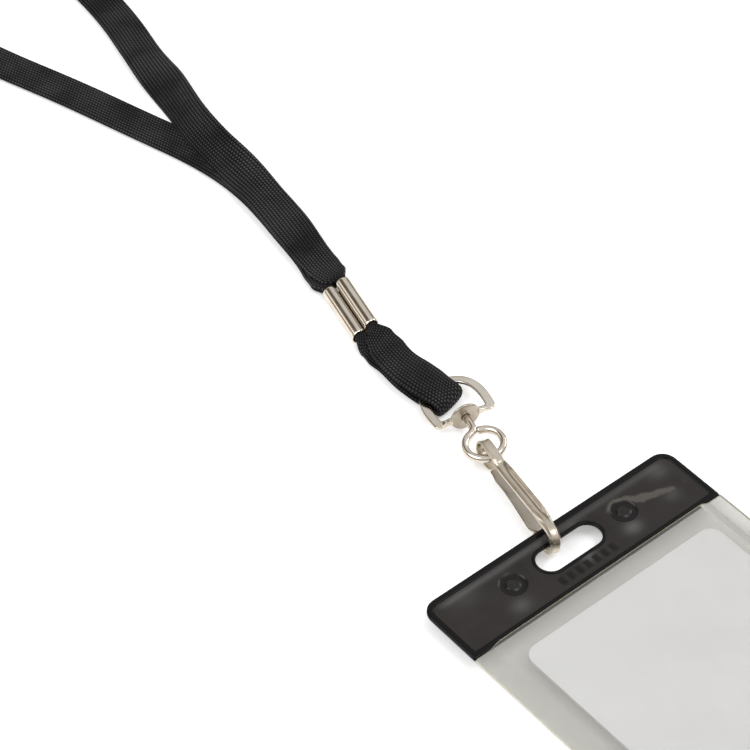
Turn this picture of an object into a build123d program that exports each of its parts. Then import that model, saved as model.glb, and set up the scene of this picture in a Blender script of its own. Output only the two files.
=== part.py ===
from build123d import *
from math import atan2, cos, degrees, hypot, pi, radians, sin, tan
import os

os.makedirs("parts", exist_ok=True)

# Lanyard badge holder: flat braid neck strap, crimp, D-ring, swivel, spring hook, vinyl card holder.
# Millimetres, +Z up, the object lies on z = 0. +X runs along the swivel axis from the strap towards
# the card holder. The origin is under the middle of the object without its neck strap.

# ---- driving dimensions -------------------------------------------------------------------
STRAP_W = 10.0            # flat tubular braid, 3/8 inch
STRAP_T = 1.2

SWIVEL = (-51.0, -16.0, 3.5)      # centre of the swivel disc, the hub of the metal parts

CRIMP_R = 1.7             # two barrels side by side
CRIMP_WALL = 0.35
CRIMP_LENGTH = 16.6
CRIMP_END = (-85.4, -24.0, 2.45)  # middle of its lower end, between the barrels
CRIMP_ROLL = 26.0         # the +Y barrel lies higher, on the stacked straps

LOOP_YAW = 15.5           # direction of the lower strap loop
LOOP_LENGTH = 29.5        # from the crimp to the outside of the fold
LOOP_TAPER = 7.0          # where the gathered braid has spread to its full width
LOOP_LIFT = 0.05
LOOP_INSIDE = 2.15        # height of the gap between the two layers, where the D-ring lies
FOLD_W = 7.8              # the fold draws in between the D-ring's legs
FOLD_TAPER = 9.0

RING_T = 0.9              # D-ring sheet
RING_BAND = 2.1
RING_HALF = 7.5           # half the width over the legs
RING_LEG = 5.4            # straight part of each leg, before the arc
RING_TILT = 7.0           # the arc lies lower than the bar, in the strap's fold
DISC_R = 3.5
DISC_GAP = 4.7            # half the gap in the bar that the disc and its necks fill

POST_R = 0.9              # swivel wire
POST_CLEARANCE = 0.1
HEAD_R = 1.7
HEAD_T = 0.6
EYE_R = 4.05              # to the middle of the wire
EYE_X = 9.5               # eye centre from the disc
EYE_ROLL = 8.0

HOOK_ROLL = 5.0           # the hook leans over to -Y
TAB_W = 2.3
TAB_T = 0.5
TAB_R = 2.0               # the tab's curl over the swivel eye
TAB_BACK = -2.2
TAB_RETURN = 1.6
ARM_START = (4.0, 0.95)   # along the hook and up from the swivel wire
ARM_W = 2.8
ARM_DEPTH = 1.5
ARM_WALL = 0.5
BEND_R = 2.9              # the J bend's middle line
BEND_AT = (25.9, 0.3)
BEND_T = 1.2
BEND_W = 2.4
TIP_BACK = 21.2
TIP_T = 1.0
LEAF_ROOT = (2.1, -2.0)
LEAF_TIP = (22.2, -1.6)
LEAF_T = 0.4
LEAF_W = (1.9, 3.6)       # at the root and at the tip

HOLDER_W = 70.0
HOLDER_H = 112.0
HOLDER_R = 3.6
HOLDER_YAW = 15.3
HOLDER_TOP = (-14.55, -15.3, 3.25)   # middle of the top edge, underside
SHEET_T = 0.35
BAND_H = 17.0
BORDER = 1.4
BAND_RECESS = 0.1
SLOT_L = 17.0
SLOT_W = 6.2
SLOT_DOWN = 7.4           # slot centre from the top edge
SLOT_BORDER = 0.8
SPOT_SPACING = 31.6
SPOT_R = 3.1
CARD_W = 54.0             # CR80 card, upright
CARD_H = 85.6
CARD_R = 3.18
CARD_T = 0.76
CARD_DOWN = 22.3
CARD_GAP = 0.08
FRONT_T = 0.3
SEAM_W = 3.0
PIP_COUNT = 7

TURN_R = 50.0             # middle of the storage coil's turns
COIL_CENTRE = (-304.0, -60.0)
COIL_LIFT = 0.9
COIL_BAND = 5.5           # half the width of the ring of turns
TIE_L = 8.0
TIE_T = 0.7
TIE_GAP = 0.2

# The route of each free leg of the neck strap, from the crimp to the coil. The upper leg lies on
# the lower one until they part.
LEG_UPPER = [
    (-102.4, -22.5, 3.2), (-112.5, -22.9, 3.0), (-128.0, -24.4, 2.4), (-143.5, -25.8, 2.3),
    (-158.5, -27.4, 2.3), (-177.0, -28.8, 2.1), (-200.0, -31.6, 0.8), (-221.0, -32.2, 0.8),
    (-241.5, -35.5, 0.8), (-250.2, -37.6, 0.8),
]
LEG_LOWER = [
    (-102.4, -25.5, 1.7), (-112.5, -25.1, 1.0), (-128.0, -26.4, 0.8), (-143.5, -28.8, 0.8),
    (-158.5, -33.6, 0.8), (-177.5, -43.8, 0.8), (-197.0, -54.0, 0.8), (-217.5, -67.5, 0.8),
    (-238.0, -79.0, 1.6), (-257.5, -93.5, 4.0), (-276.2, -106.3, 5.9),
]


# ---- helpers ------------------------------------------------------------------------------
def save(name, shape):
    """Write one node and print its volume."""
    shape.label = name
    export_step(shape, f"parts/{name}.step")
    print(f"{name:24s} {shape.volume:10.2f} mm3")


def at_swivel(shape):
    """From the swivel's own frame, with the disc's centre at its origin, to the row frame."""
    return Pos(*SWIVEL) * shape


def at_hook(shape):
    """From the hook's own frame, x along the hook and z towards its front arm."""
    eye_far_side = EYE_X + EYE_R
    return at_swivel(Pos(eye_far_side, 0, 0) * Rot(-HOOK_ROLL, 0, 0) * shape)


def at_holder(shape):
    """From the holder's own frame: x down the holder, y across it, z through its thickness."""
    tilt = degrees(atan2(HOLDER_TOP[2], HOLDER_H))
    return Pos(*HOLDER_TOP) * Rot(0, 0, HOLDER_YAW) * Rot(0, tilt, 0) * shape


def rounded_plate(x0, x1, width, radius, z0, z1):
    """A plate from x0 to x1 down the holder, with rounded corners."""
    face = Pos((x0 + x1) / 2, 0, z0) * RectangleRounded(x1 - x0, width, radius)
    return extrude(face, z1 - z0)


def slot_cut(grow, z0, z1):
    """The hanging slot's volume, larger by grow all round."""
    face = Pos(SLOT_DOWN, 0, z0) * Rot(0, 0, 90) * SlotOverall(SLOT_L + 2 * grow, SLOT_W + 2 * grow)
    return extrude(face, z1 - z0)


def bend_radii(points):
    """Each corner's arc radius: 0.45 of its shorter run over the tangent of half the turn."""
    radii = []
    for before, corner, after in zip(points, points[1:], points[2:]):
        inward = Vector(*corner) - Vector(*before)
        outward = Vector(*after) - Vector(*corner)
        turn = radians(inward.get_angle(outward))
        radii.append(0.45 * min(inward.length, outward.length) / tan(turn / 2))
    return radii


def strap_leg(name, points):
    """A flat strap swept along tangent runs and arcs, up to the outside of the coil."""
    radii = bend_radii(points)
    path = FilletPolyline(*points, radius=radii)
    start = Plane(origin=path @ 0, z_dir=path % 0, x_dir=Vector(0, 0, 1).cross(path % 0))
    leg = sweep(start * Rectangle(STRAP_W, STRAP_T), path)
    expected = STRAP_W * STRAP_T * path.length
    print(f"{name}: length {path.length:.1f}, radii {[round(r) for r in radii]},"
          f" volume {leg.volume:.1f} of {expected:.1f}")
    return leg - Pos(*COIL_CENTRE, 0) * Cylinder(TURN_R + COIL_BAND + 0.02, 40)


# ---- neck strap ---------------------------------------------------------------------------
def strap_coil():
    """The outer shape of the coiled length: a ring of turns that stand on edge."""
    ring = Circle(TURN_R + COIL_BAND) - Circle(TURN_R - COIL_BAND)
    return Pos(*COIL_CENTRE, COIL_LIFT) * extrude(ring, STRAP_W)


def storage_tie():
    """A hook-and-loop band wrapped once round the coil's turns."""
    inner_h = STRAP_W + 2 * TIE_GAP
    inner_w = 2 * COIL_BAND + 2 * TIE_GAP
    shell = Box(TIE_L, inner_w + 2 * TIE_T, inner_h + 2 * TIE_T) - Box(TIE_L, inner_w, inner_h)
    middle = (COIL_CENTRE[0], COIL_CENTRE[1] - TURN_R, COIL_LIFT + STRAP_W / 2)
    return Pos(*middle) * shell


# ---- crimp and lower loop -----------------------------------------------------------------
def crimp_sleeve():
    """One strip of sheet metal rolled into two barrels, seam between them."""
    barrel_offset = CRIMP_R - 0.03
    outside = Pos(-barrel_offset, 0) * Circle(CRIMP_R) + Pos(barrel_offset, 0) * Circle(CRIMP_R)
    bores = Sketch() + [Pos(side * barrel_offset, 0) * Circle(CRIMP_R - CRIMP_WALL) for side in (-1, 1)]
    section = outside - bores
    body = extrude(Plane.YZ * section, -CRIMP_LENGTH)
    return Pos(*CRIMP_END) * Rot(CRIMP_ROLL, 0, 0) * body


def barrel_mouth(side):
    """Middle of one barrel at the crimp's lower end; side is 1 for the upper barrel."""
    reach = side * (CRIMP_R - 0.03)
    return (CRIMP_END[0], CRIMP_END[1] + reach * cos(radians(CRIMP_ROLL)),
            CRIMP_END[2] + reach * sin(radians(CRIMP_ROLL)))


def lower_loop():
    """The strap below the crimp: two flat layers, joined by the fold that holds the D-ring."""
    outer_h = 2 * STRAP_T + LOOP_INSIDE
    run = LOOP_LENGTH - LOOP_TAPER
    outer = Pos(run / 2, outer_h / 2) * RectangleRounded(run, outer_h, outer_h / 2 - 0.05)
    outer += Pos(run / 4, outer_h / 2) * Rectangle(run / 2, outer_h)
    inner = Pos(run / 2 - STRAP_T, outer_h / 2) * RectangleRounded(run, LOOP_INSIDE, LOOP_INSIDE / 2 - 0.05)
    inner += Pos(run / 4 - STRAP_T, outer_h / 2) * Rectangle(run / 2, LOOP_INSIDE)
    profile = Plane.XZ * (outer - inner)
    plan = make_face(Polyline((-1, -STRAP_W / 2), (run - FOLD_TAPER, -STRAP_W / 2), (run, -FOLD_W / 2),
                              (run, FOLD_W / 2), (run - FOLD_TAPER, STRAP_W / 2), (-1, STRAP_W / 2),
                              close=True))
    flat = extrude(profile, STRAP_W / 2, both=True) & extrude(plan, outer_h)
    start = Pos(CRIMP_END[0], CRIMP_END[1], LOOP_LIFT) * Rot(0, 0, LOOP_YAW) * Pos(LOOP_TAPER, 0, 0)
    loop = start * flat
    for side, height in ((1, outer_h - STRAP_T / 2), (-1, STRAP_T / 2)):
        wide = start * Pos(0.2, 0, height) * Rot(0, 90, 0) * Rot(0, 0, 90) * SlotOverall(STRAP_W, STRAP_T)
        gathered = Pos(*barrel_mouth(side)) * Rot(0, 90, 0) * Rot(0, 0, 90) * SlotOverall(2.6, 2.5)
        core = extrude(gathered, -0.6 * CRIMP_LENGTH)
        loop += loft([gathered, wide]) + core
    return loop


# ---- D-ring and swivel --------------------------------------------------------------------
def d_shape(half, leg, corner):
    """A D lying in the XY plane: its bar on x = 0, its arc towards -X."""
    arc = Pos(-leg, 0) * Circle(half)
    box = Pos(-leg / 2, 0) * Rectangle(leg, 2 * half)
    face = arc + box
    return fillet(face.vertices().sort_by(Axis.X)[-2:], corner)


def d_ring():
    """A flat stamped D. The middle of its bar is twisted upright into the swivel's disc."""
    outline = Pos(RING_BAND / 2, 0) * d_shape(RING_HALF, RING_LEG + RING_BAND / 2, 1.2)
    hole = Pos(-RING_BAND / 2, 0) * d_shape(RING_HALF - RING_BAND, RING_LEG - RING_BAND / 2, 0.6)
    plate = extrude(outline - hole, RING_T / 2, both=True)
    plate -= Box(6.0, 2 * DISC_GAP, 4.0)
    plate = Rot(0, -RING_TILT, 0) * plate
    disc = Rot(0, 90, 0) * Cylinder(DISC_R, RING_T)
    necks = Rot(90, 0, 0) * (Cylinder(0.7, 2 * DISC_GAP + 1.0) - Cylinder(1.0, 4.0))
    bore = Rot(0, 90, 0) * Cylinder(POST_R + POST_CLEARANCE, 4.0)
    return at_swivel(plate + (disc + necks - bore))


def swivel_eye():
    """Riveted post through the disc, bent into a closed eye."""
    back = -RING_T / 2 - POST_CLEARANCE
    eye_near = EYE_X - EYE_R
    head = Pos(back - HEAD_T / 2, 0, 0) * Rot(0, 90, 0) * Cylinder(HEAD_R, HEAD_T)
    post = Pos((back + eye_near) / 2, 0, 0) * Rot(0, 90, 0) * Cylinder(POST_R, eye_near - back)
    eye = Pos(EYE_X, 0, 0) * Rot(EYE_ROLL, 0, 0) * Torus(EYE_R, POST_R)
    return at_swivel(head + post + eye)


# ---- spring hook --------------------------------------------------------------------------
def arm_end():
    """Where the straight front arm meets the J bend, and the arm's slope."""
    dx = BEND_AT[0] - ARM_START[0]
    dz = BEND_AT[1] - ARM_START[1]
    slope = atan2(dz, dx) + pi / 2 - atan2((dx * dx + dz * dz - BEND_R ** 2) ** 0.5, BEND_R)
    return (BEND_AT[0] - BEND_R * sin(slope), BEND_AT[1] + BEND_R * cos(slope)), slope


def hook_tab():
    """The narrow tab that curls over the swivel eye."""
    reach = ARM_START[0] + 1.0
    with BuildSketch(Plane.XZ) as stroke:
        with BuildLine():
            lower = Line((TAB_RETURN, -TAB_R), (TAB_BACK, -TAB_R))
            curl = ThreePointArc(lower @ 1, (TAB_BACK - TAB_R, 0), (TAB_BACK, TAB_R))
            upper = Line(curl @ 1, (1.6, TAB_R))
            Line(upper @ 1, (reach, ARM_START[1] + 0.35))
            offset(amount=TAB_T / 2, side=Side.BOTH)
        make_face()
    return extrude(stroke.sketch, TAB_W / 2, both=True)


def hook_arm():
    """The front arm, a half-round channel open towards the leaf."""
    end, slope = arm_end()
    length = hypot(end[0] - ARM_START[0], end[1] - ARM_START[1])
    crown = Ellipse(ARM_W / 2, ARM_DEPTH) & Pos(0, ARM_DEPTH / 2) * Rectangle(ARM_W, ARM_DEPTH)
    hollow = Ellipse(ARM_W / 2 - ARM_WALL, ARM_DEPTH - ARM_WALL)
    section = Pos(0, -ARM_DEPTH / 2) * (crown - hollow)
    face = Plane(origin=(ARM_START[0], 0, ARM_START[1]), x_dir=(0, 1, 0),
                 z_dir=(cos(slope), 0, sin(slope))) * section
    return extrude(face, length)


def hook_bend():
    """The J bend and the short lower limb under the leaf's end."""
    slope = arm_end()[1]
    lower = Pos((TIP_BACK + BEND_AT[0]) / 2, 0, BEND_AT[1] - BEND_R)
    limb = lower * Box(BEND_AT[0] - TIP_BACK, BEND_W, TIP_T)
    limb = fillet(limb.edges().filter_by(Axis.Z).group_by(Axis.X)[0], 0.9)
    bar = Pos(BEND_AT[0], 0, BEND_AT[1] - BEND_R) * Rot(0, 90, 0) * RectangleRounded(BEND_T, BEND_W, 0.5)
    axis = Axis((BEND_AT[0], 0, BEND_AT[1]), (0, -1, 0))
    turned = revolve(bar, axis, 180 + degrees(slope))
    return limb + turned


def hook_body():
    """The stamped hook: tab, channel arm and J bend in one piece."""
    return at_hook(hook_tab() + hook_arm() + hook_bend())


def gate_leaf():
    """The flat spring leaf that closes the hook's mouth."""
    run = LEAF_TIP[0] - LEAF_ROOT[0]
    outline = make_face(Polyline((0, -LEAF_W[0] / 2), (run, -LEAF_W[1] / 2), (run, LEAF_W[1] / 2),
                                 (0, LEAF_W[0] / 2), close=True))
    outline = fillet(outline.vertices().sort_by(Axis.X)[-2:], 0.7)
    rise = degrees(atan2(LEAF_TIP[1] - LEAF_ROOT[1], run))
    leaf = extrude(outline, LEAF_T / 2, both=True)
    return at_hook(Pos(LEAF_ROOT[0], 0, LEAF_ROOT[1]) * Rot(0, -rise, 0) * leaf)


# ---- card holder --------------------------------------------------------------------------
BAND_TOP = 2 * SHEET_T
CARD_Z = BAND_TOP + CARD_GAP
FRONT_Z = CARD_Z + CARD_T + CARD_GAP
SEAM_INNER = HOLDER_W - 2 * SEAM_W


def top_band_part(z0, z1, inset):
    """A plate over the band, its top corners rounded, inset from the band's edges."""
    plate = rounded_plate(inset, BAND_H + 10, HOLDER_W - 2 * inset, HOLDER_R - inset, z0, z1)
    cut = Pos(BAND_H - inset + 15, 0, 0) * Box(30, HOLDER_W + 2, 10)
    return plate - cut - slot_cut(0, z0 - 1, z1 + 1)


def band_back():
    """The dark back layer of the band."""
    return at_holder(top_band_part(0, SHEET_T, 0))


def band_panel():
    """The smoked front layer, set a little lower than its welded border."""
    panel = top_band_part(SHEET_T, BAND_TOP - BAND_RECESS, BORDER)
    return at_holder(panel - slot_cut(SLOT_BORDER, 0, 2))


def band_border():
    """The black weld round the band and round the slot."""
    outer = top_band_part(SHEET_T, BAND_TOP, 0)
    inner = top_band_part(SHEET_T - 1, BAND_TOP + 1, BORDER)
    frame = outer - inner
    collar = slot_cut(SLOT_BORDER, SHEET_T, BAND_TOP) - slot_cut(0, 0, 2)
    return at_holder(frame), at_holder(collar)


def spot_welds():
    """Two blind round spots with a ring groove, beside the slot."""
    z0 = BAND_TOP - BAND_RECESS
    disc = Cylinder(SPOT_R, 0.12) - (Cylinder(SPOT_R - 0.5, 0.3) - Cylinder(SPOT_R - 1.1, 0.4))
    dome = Pos(0, 0, 0.1) * Cylinder(0.9, 0.2)
    spots = [Pos(SLOT_DOWN, side * SPOT_SPACING / 2, z0 + 0.06) * (disc + dome) for side in (-1, 1)]
    return at_holder(Compound(children=[solid for spot in spots for solid in spot.solids()]))


def pips():
    """A plain row of raised bars below the slot."""
    bars = []
    for index in range(PIP_COUNT):
        across = (index - (PIP_COUNT - 1) / 2) * 2.4
        bars.append(Pos(13.2, across, BAND_TOP - BAND_RECESS + 0.05) * Box(1.7, 1.1, 0.1))
    return at_holder(Compound(children=bars))


def pocket_back():
    """The clear back sheet of the card pocket."""
    sheet = rounded_plate(0, HOLDER_H, HOLDER_W, HOLDER_R, 0, SHEET_T)
    return at_holder(sheet - Pos(BAND_H / 2 - 5, 0, 0) * Box(BAND_H + 10, HOLDER_W + 2, 4))


def pocket_front():
    """The clear front sheet; its top edge, below the band, is the pocket's open mouth."""
    sheet = rounded_plate(0, HOLDER_H, HOLDER_W, HOLDER_R, FRONT_Z, FRONT_Z + FRONT_T)
    cut = Pos(BAND_H / 2 - 4.8, 0, 0) * Box(BAND_H + 10, HOLDER_W + 2, 8)
    return at_holder(sheet - cut)


def pocket_seam():
    """The welded seam down both sides and along the bottom of the pocket."""
    outer = rounded_plate(0, HOLDER_H, HOLDER_W, HOLDER_R, SHEET_T, FRONT_Z)
    inner = rounded_plate(-20, HOLDER_H - SEAM_W, SEAM_INNER, 1.5, 0, 4)
    top = Pos(BAND_H / 2 - 4.8, 0, 0) * Box(BAND_H + 10, HOLDER_W + 2, 8)
    return at_holder(outer - inner - top)


def insert_card():
    """The CR80 card in the pocket."""
    card = rounded_plate(CARD_DOWN, CARD_DOWN + CARD_H, CARD_W, CARD_R, CARD_Z, CARD_Z + CARD_T)
    return at_holder(card)


def build_all():
    """Make every node, write it and return the shapes by name."""
    border, collar = band_border()
    shapes = {
        "neck_strap_upper_leg": strap_leg("upper leg", LEG_UPPER),
        "neck_strap_lower_leg": strap_leg("lower leg", LEG_LOWER),
        "neck_strap_coil": strap_coil(),
        "storage_tie": storage_tie(),
        "crimp_sleeve": crimp_sleeve(),
        "strap_lower_loop": lower_loop(),
        "d_ring": d_ring(),
        "swivel_eye": swivel_eye(),
        "hook_body": hook_body(),
        "gate_leaf": gate_leaf(),
        "band_back": band_back(),
        "band_panel": band_panel(),
        "band_border": border,
        "slot_collar": collar,
        "spot_welds": spot_welds(),
        "raised_pips": pips(),
        "pocket_back": pocket_back(),
        "pocket_front": pocket_front(),
        "pocket_seam": pocket_seam(),
        "insert_card": insert_card(),
    }
    for name, shape in shapes.items():
        save(name, shape)
    return shapes


if __name__ == "__main__":
    build_all()
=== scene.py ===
import bpy
import numpy as np
from math import atan2, cos, hypot, pi, radians, sin
from mathutils import Matrix, Vector
from mathutils.geometry import delaunay_2d_cdt

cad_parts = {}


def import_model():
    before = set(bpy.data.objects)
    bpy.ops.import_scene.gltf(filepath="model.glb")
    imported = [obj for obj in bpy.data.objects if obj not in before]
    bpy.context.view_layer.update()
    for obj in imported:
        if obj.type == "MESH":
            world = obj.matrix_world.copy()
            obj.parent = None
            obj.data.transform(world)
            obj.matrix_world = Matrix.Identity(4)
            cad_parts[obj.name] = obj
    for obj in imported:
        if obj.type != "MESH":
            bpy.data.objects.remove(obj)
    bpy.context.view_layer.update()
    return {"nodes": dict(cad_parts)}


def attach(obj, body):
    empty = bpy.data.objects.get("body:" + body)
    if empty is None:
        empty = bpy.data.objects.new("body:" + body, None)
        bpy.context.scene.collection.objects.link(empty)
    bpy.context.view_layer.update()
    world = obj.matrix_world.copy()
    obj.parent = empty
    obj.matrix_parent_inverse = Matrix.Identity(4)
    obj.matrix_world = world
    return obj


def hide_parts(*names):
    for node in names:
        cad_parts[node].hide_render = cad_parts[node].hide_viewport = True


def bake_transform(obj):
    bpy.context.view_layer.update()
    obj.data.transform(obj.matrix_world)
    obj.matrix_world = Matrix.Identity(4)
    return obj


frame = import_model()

MM = 0.001

# ---- sizes, in millimetres as in the CAD parts ----------------------------------------------
STRAP_W, STRAP_T = 10.0, 1.25
RIBS, STITCH = 12, 0.82        # lengthwise ribs of the flat braid, and the length of one stitch
BARREL_FILL = (2.55, 2.45)     # width and thickness of the braid gathered inside a crimp barrel
INTO_BARREL = 4.0              # how far the braid runs on inside it
LOOP_YAW = radians(15.5)       # heading of the lower loop where it folds round the D-ring
FOLD_TIP = (-58.05, -16.45, 2.1)
HOLDER_W, HOLDER_H, HOLDER_R = 70.0, 112.0, 3.6
HOLDER_TOP = (-14.55, -15.3, 3.25)   # middle of its top edge, underside
HOLDER_YAW = radians(15.3)
BAND_H, BAND_FOOT_R, BORDER = 17.0, 0.6, 1.5   # height, lower corners, welded border
SHEET_T, BAND_Z = 0.35, 0.60
SLOT = (7.4, 17.0, 6.2)        # its centre from the top edge, length and width
COLLAR = 0.8
SPOTS = (7.4, 31.6)            # their row from the top edge and their spacing
SPOT_RINGS = (3.4, 3.1, 2.95, 2.8, 1.75, 1.52, 1.3, 1.1, 0.8, 0.4)   # rows of points round each
BARS = (13.2, 2.4, 7)          # row from the top edge, spacing and number
# Painted highlights: pale patches painted where the glossy film's soft reflections fall.
PAINTED_HIGHLIGHTS = [                     # pale patches: from the top edge, across, radius and share
    (11.9, 14.2, 1.7, 0.85), (12.6, -18.2, 1.8, 0.6), (11.9, 1.5, 1.3, 0.7),
    (4.2, 29.0, 1.9, 0.5), (4.2, 4.5, 1.3, 0.4), (10.6, 27.0, 1.6, 0.4), (4.0, -26.0, 2.6, 0.25),
]
FRONT_TOP, FRONT_WALL = 1.92, 0.28   # upper face of the pocket's front, and its thickness
SEAM_IN, SEAM_OUT, SEAM_ROW = 28.6, 31.4, 32.6   # where the front is pressed down, and its groove
CRIMP_END, CRIMP_ROLL, CRIMP_LENGTH = (-85.4, -24.1, 2.64), radians(26), 16.6
BARREL_R, BARREL_WALL = 1.68, 0.35   # radius to the middle of the metal
BARREL_OUT = 1.82              # half the distance between the barrels
SWIVEL = (-51.0, -16.0, 3.5)   # middle of the D-ring's disc
RING_REACH, RING_LEG, RING_BAND, RING_T = 12.8, 3.6, 2.1, 0.85   # bar to bow, leg, width, sheet
RING_TILT, RING_YAW, RING_ROLL = radians(7), radians(-2), radians(6)
DISC_R, DISC_HOLE = 3.5, 1.0
WIRE_R, EYE_R, EYE_X, EYE_ROLL = 0.9, 4.05, 9.5, radians(8)   # EYE_X from the disc
HOOK_ROLL, HOOK_YAW, HOOK_SLIDE = radians(5), radians(1), -0.55   # the slide is across the eye
COIL_CENTRE, COIL_IN, COIL_OUT = (-304.0, -60.0), 47.2, 54.4
COIL_START, COIL_END = 180.0, 661.0     # degrees
COIL_Z, COIL_OVER = 5.9, 7.4   # height of the coil, also where it passes over the leg
TIE_W, TIE_T = 8.0, 0.6
CAMERA_PLACE, CAMERA_AIM = (0.31198, -0.20699, 0.42255), (-0.07408, -0.02698, 0.0)   # metres
FAR = 1e9                      # beyond any distance here

# The route of the neck strap: the upper leg from the crimp, the coil, and the lower leg back.
LEG_UPPER = [
    (-102.4, -22.5, 3.2), (-106.5, -24.0, 3.25), (-115.0, -24.7, 2.9), (-128.0, -25.2, 2.5),
    (-140.0, -26.6, 2.7), (-149.0, -28.6, 3.6), (-158.5, -31.1, 4.8), (-168.0, -32.4, 5.2),
    (-180.0, -32.0, 4.2), (-200.0, -32.2, 1.2), (-221.0, -32.2, 0.8), (-241.5, -35.5, 0.8),
    (-250.2, -37.6, 0.8),
]
INTO_COIL = [
    (-270.0, -37.5, 0.9), (-290.0, -34.5, 2.2), (-315.0, -32.5, 4.6), (-340.0, -39.0, 5.9),
]
LEG_LOWER = [
    (-276.2, -106.3, 5.9), (-257.5, -93.5, 4.2), (-238.0, -79.0, 1.7), (-217.5, -67.5, 0.8),
    (-197.0, -54.2, 0.8), (-177.5, -43.0, 0.8), (-160.0, -32.6, 0.8), (-145.0, -26.9, 0.8),
    (-128.0, -24.6, 0.9), (-115.0, -24.3, 1.25), (-107.5, -24.9, 1.5), (-102.4, -25.5, 1.7),
]
# The short loop of strap, from the crimp's upper barrel round the D-ring to the lower barrel.
LOWER_LOOP = [
    (-85.0, -22.5, 3.2), (-82.5, -22.3, 3.4), (-78.5, -22.4, 3.3), (-72.5, -21.7, 3.15),
    (-66.5, -19.6, 3.3), (-61.6, -17.9, 3.55), (-58.8, -16.8, 3.6), (-57.2, -16.25, 3.1),
    (-57.2, -16.25, 1.0), (-59.0, -16.85, 0.65), (-62.8, -18.1, 0.65), (-69.0, -20.2, 0.65),
    (-77.0, -22.6, 0.95), (-81.5, -24.2, 1.35), (-83.5, -25.2, 1.65), (-85.0, -25.5, 1.7),
]


# ---- small helpers --------------------------------------------------------------------------
def ramp(x, low, high):
    """0 below low, 1 above high, and smooth between them."""
    t = np.clip((np.asarray(x, float) - low) / (high - low), 0, 1)
    return t * t * (3 - 2 * t)


def link(obj):
    bpy.context.scene.collection.objects.link(obj)
    return obj


def new_mesh(name, points_mm, faces, material):
    """A smooth-shaded mesh object from points in millimetres."""
    mesh = bpy.data.meshes.new(name)
    mesh.from_pydata([tuple(p) for p in np.asarray(points_mm) * MM], [], faces)
    mesh.polygons.foreach_set("use_smooth", [True] * len(mesh.polygons))
    mesh.materials.append(material)
    mesh.update()
    return link(bpy.data.objects.new(name, mesh))


def nurbs_path(points_mm, per_span):
    """Points along the smooth NURBS line that has these control points, in millimetres."""
    curve = bpy.data.curves.new("route", "CURVE")
    curve.dimensions = "3D"
    curve.resolution_u = per_span
    spline = curve.splines.new("NURBS")
    spline.points.add(len(points_mm) - 1)
    for point, co in zip(spline.points, points_mm):
        point.co = (co[0] * MM, co[1] * MM, co[2] * MM, 1.0)
    spline.order_u = 3
    spline.use_endpoint_u = True
    holder = link(bpy.data.objects.new("route", curve))
    bpy.context.view_layer.update()
    graph = bpy.context.evaluated_depsgraph_get()
    line = bpy.data.meshes.new_from_object(holder.evaluated_get(graph))
    points = np.array([v.co for v in line.vertices], float) / MM
    bpy.data.objects.remove(holder)
    bpy.data.curves.remove(curve)
    bpy.data.meshes.remove(line)
    return points


def unit(vectors):
    return vectors / np.linalg.norm(vectors, axis=-1, keepdims=True)


def sweep(name, path, side, across, up, material, matrix=None):
    """Sweeps a closed section along path. across and up hold, for each station, the section's
    offsets along side and square to it."""
    stations, around = across.shape
    tangent = unit(np.gradient(path, axis=0))
    side = np.broadcast_to(np.asarray(side, float), path.shape)
    over = unit(np.cross(tangent, side))
    side = np.cross(over, tangent)
    points = path[:, None, :] + side[:, None, :] * across[:, :, None]
    points = (points + over[:, None, :] * up[:, :, None]).reshape(-1, 3)
    if matrix is not None:
        points = moved(points, matrix)
    rows = np.arange(stations - 1)[:, None] * around
    cols = np.arange(around)[None, :]
    after = (cols + 1) % around
    corners = [rows + cols, rows + after, rows + after + around, rows + cols + around]
    faces = [tuple(q) for q in np.stack(corners, axis=-1).reshape(-1, 4).tolist()]
    faces.append(tuple(range(around))[::-1])
    faces.append(tuple(range((stations - 1) * around, stations * around)))
    return new_mesh(name, points, faces, material)


def moved(points, matrix):
    """Points carried by a 4 x 4 matrix."""
    turn = np.array(matrix)
    return np.asarray(points, float) @ turn[:3, :3].T + turn[:3, 3]


def points_of(obj):
    """The object's points, in millimetres."""
    return np.array([v.co for v in obj.data.vertices], float) / MM


def set_points(obj, points):
    """Moves the object's points to these places, in millimetres."""
    obj.data.vertices.foreach_set("co", (points * MM).astype(np.float32).ravel())
    obj.data.update()


def keep_edges(obj, angle):
    """Shades the mesh smooth except over corners sharper than angle, in degrees."""
    obj.data.set_sharp_from_angle(angle=radians(angle))


def there_and_back(values):
    """Values across a strip's underside and back over its top, as one closed ring."""
    return np.concatenate([values, values[-2:0:-1]])


def rounded_section(width, height, power, around=32):
    """Offsets of a rounded rectangle (power about 4) or an ellipse (power 2), for each station."""
    angle = np.linspace(0, 2 * pi, around, endpoint=False) + pi / around
    c, s = np.cos(angle), np.sin(angle)
    x = np.sign(c) * np.abs(c) ** (2 / power)
    y = np.sign(s) * np.abs(s) ** (2 / power)
    return np.outer(np.asarray(width) / 2, x), np.outer(np.asarray(height) / 2, y)


def strip_section(width, thick, sag, count=25):
    """Offsets of a strip bent into a half-round channel: its long edges lie sag below its middle
    and are rounded."""
    theta = np.linspace(-1.3, 1.3, count)
    across = np.outer(np.asarray(width) / 2, np.sin(theta) / np.sin(1.3))
    bend = -np.outer(sag, (1 - np.cos(theta)) / (1 - np.cos(1.3)))
    run_x, run_z = np.gradient(across, axis=1), np.gradient(bend, axis=1)
    size = np.hypot(run_x, run_z)
    edge = np.sqrt(np.clip(1 - np.abs(theta / 1.3) ** 9, 0, 1))
    half = np.outer(np.asarray(thick) / 2, edge)
    out_x, out_z = -run_z / size * half, run_x / size * half
    lower, upper = (across - out_x, bend - out_z), (across + out_x, bend + out_z)
    return [np.concatenate([a, b[:, -2:0:-1]], axis=1) for a, b in zip(lower, upper)]


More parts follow.
